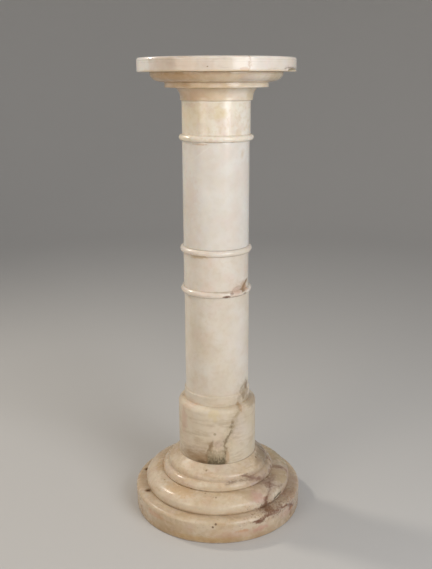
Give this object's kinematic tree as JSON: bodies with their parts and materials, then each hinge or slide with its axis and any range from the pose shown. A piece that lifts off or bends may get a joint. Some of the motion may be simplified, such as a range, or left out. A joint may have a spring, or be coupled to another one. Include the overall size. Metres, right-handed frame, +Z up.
{
  "type": "alabaster pedestal column",
  "caption": "Round turned stone pedestal with a moulded base, a ringed plain shaft and a round top slab to stand things on.",
  "frame": {"origin": "centre of the underside of the base", "axes": "+Z up the column, -Y towards the front, where the main vein runs, +X to the right"},
  "size_m": [0.3808, 0.3808, 1],
  "materials": {
    "slab_alabaster": "polished cream alabaster with faint pink clouding and one tan vein",
    "capital_alabaster": "polished cream alabaster, warmer under its mouldings",
    "honey_alabaster": "polished alabaster with honey-yellow patches",
    "grey_white_alabaster": "polished greyish-white alabaster, almost unmarked",
    "ring_alabaster": "polished cream alabaster with small dark brown stains on the lower bead",
    "veined_alabaster": "polished tan-white alabaster with brown veins and wavy banding at its foot",
    "base_alabaster": "polished beige alabaster with mauve-brown veins and small pits"
  },
  "bodies": {
    "root": {"base": "base_alabaster", "lower_shaft": "veined_alabaster", "ring_drum": "ring_alabaster", "middle_shaft": "grey_white_alabaster", "upper_drum": "honey_alabaster", "capital": "capital_alabaster", "top_slab": "slab_alabaster"}
  },
  "joints": []
}
